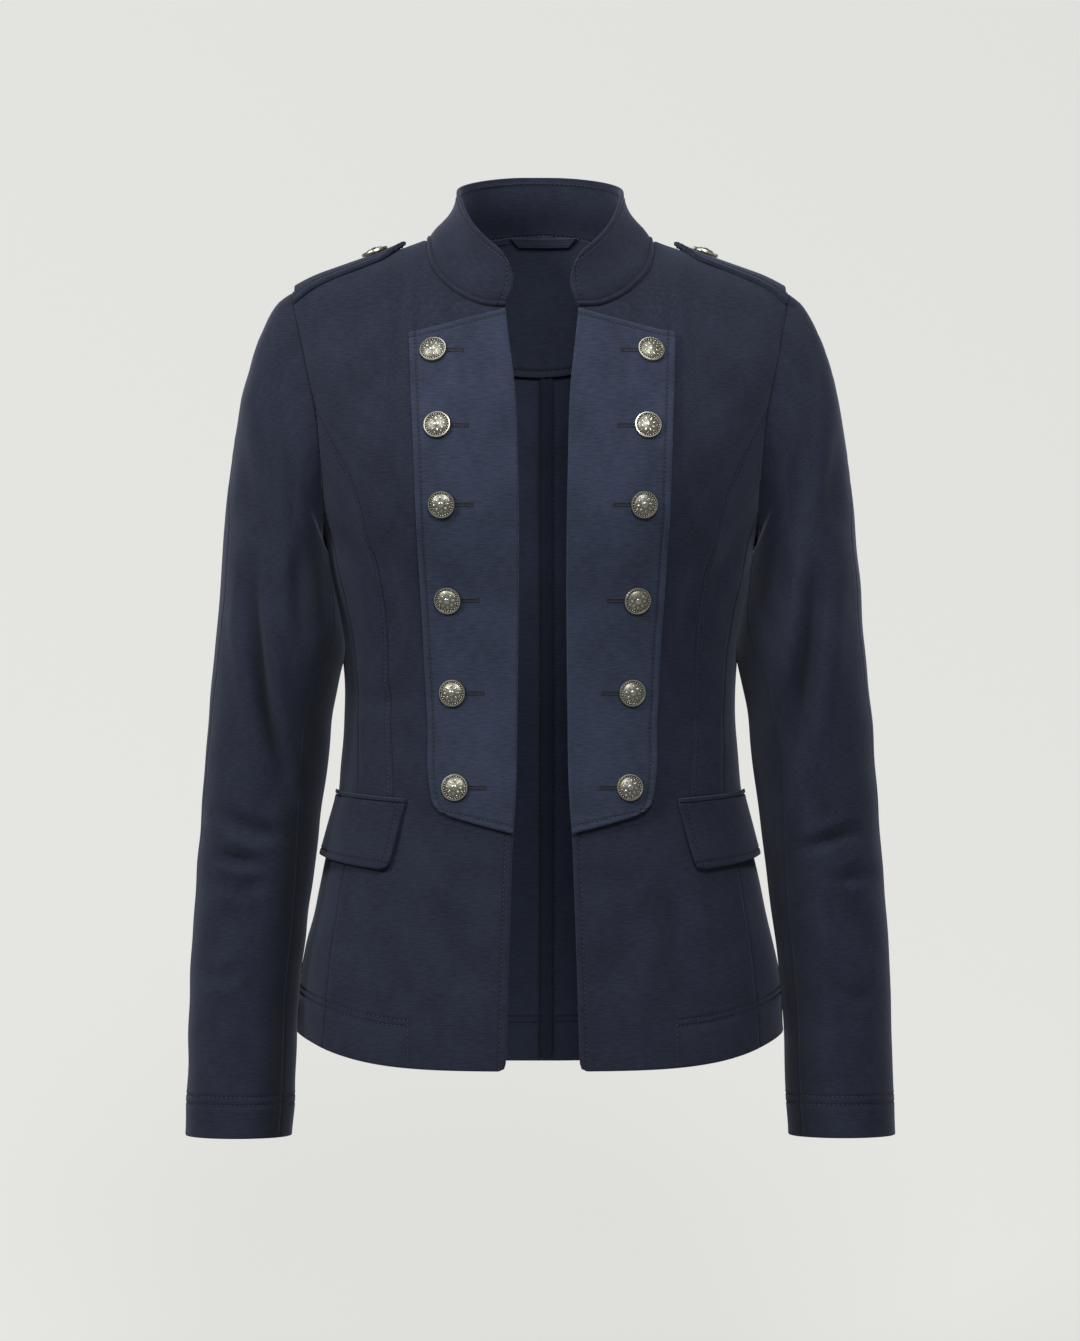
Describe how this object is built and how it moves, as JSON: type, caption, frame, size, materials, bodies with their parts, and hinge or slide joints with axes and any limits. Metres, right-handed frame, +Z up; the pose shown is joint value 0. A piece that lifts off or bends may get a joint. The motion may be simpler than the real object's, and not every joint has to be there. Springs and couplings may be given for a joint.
{
  "type": "stand collar blazer",
  "caption": "Navy stand collar blazer, open at the front, with buttoned front plackets, shoulder straps and flap pockets, filled out with no wearer.",
  "frame": {"origin": "middle of the neck opening, level with the points where the collar meets the shoulder seams", "axes": "+Z up, front of the coat faces -Y, the wearer's left is +X"},
  "size_m": [0.5448, 0.2488, 0.7418],
  "materials": {
    "cloth": "matt navy jersey",
    "cloth_inside": "matt navy jersey, inside",
    "pewter": "oxidised antique pewter, domed"
  },
  "bodies": {
    "root": {"back_left": "cloth", "back_neck_facing": "cloth_inside", "back_right": "cloth", "button_left_1": "pewter", "button_left_2": "pewter", "button_left_3": "pewter", "button_left_4": "pewter", "button_left_5": "pewter", "button_left_6": "pewter", "button_right_1": "pewter", "button_right_2": "pewter", "button_right_3": "pewter", "button_right_4": "pewter", "button_right_5": "pewter", "button_right_6": "pewter", "button_strap_left": "pewter", "button_strap_right": "pewter", "collar": "cloth", "front_left": "cloth", "front_right": "cloth", "hanger_loop": "cloth", "placket_left": "cloth", "placket_right": "cloth", "pocket_flap_left": "cloth", "pocket_flap_right": "cloth", "pocket_welt_left": "cloth", "pocket_welt_right": "cloth", "shoulder_strap_left": "cloth", "shoulder_strap_right": "cloth", "side_body_left": "cloth", "side_body_right": "cloth", "side_front_left": "cloth", "side_front_right": "cloth", "sleeve_under_left": "cloth", "sleeve_under_right": "cloth", "sleeve_upper_left": "cloth", "sleeve_upper_right": "cloth"}
  },
  "joints": []
}
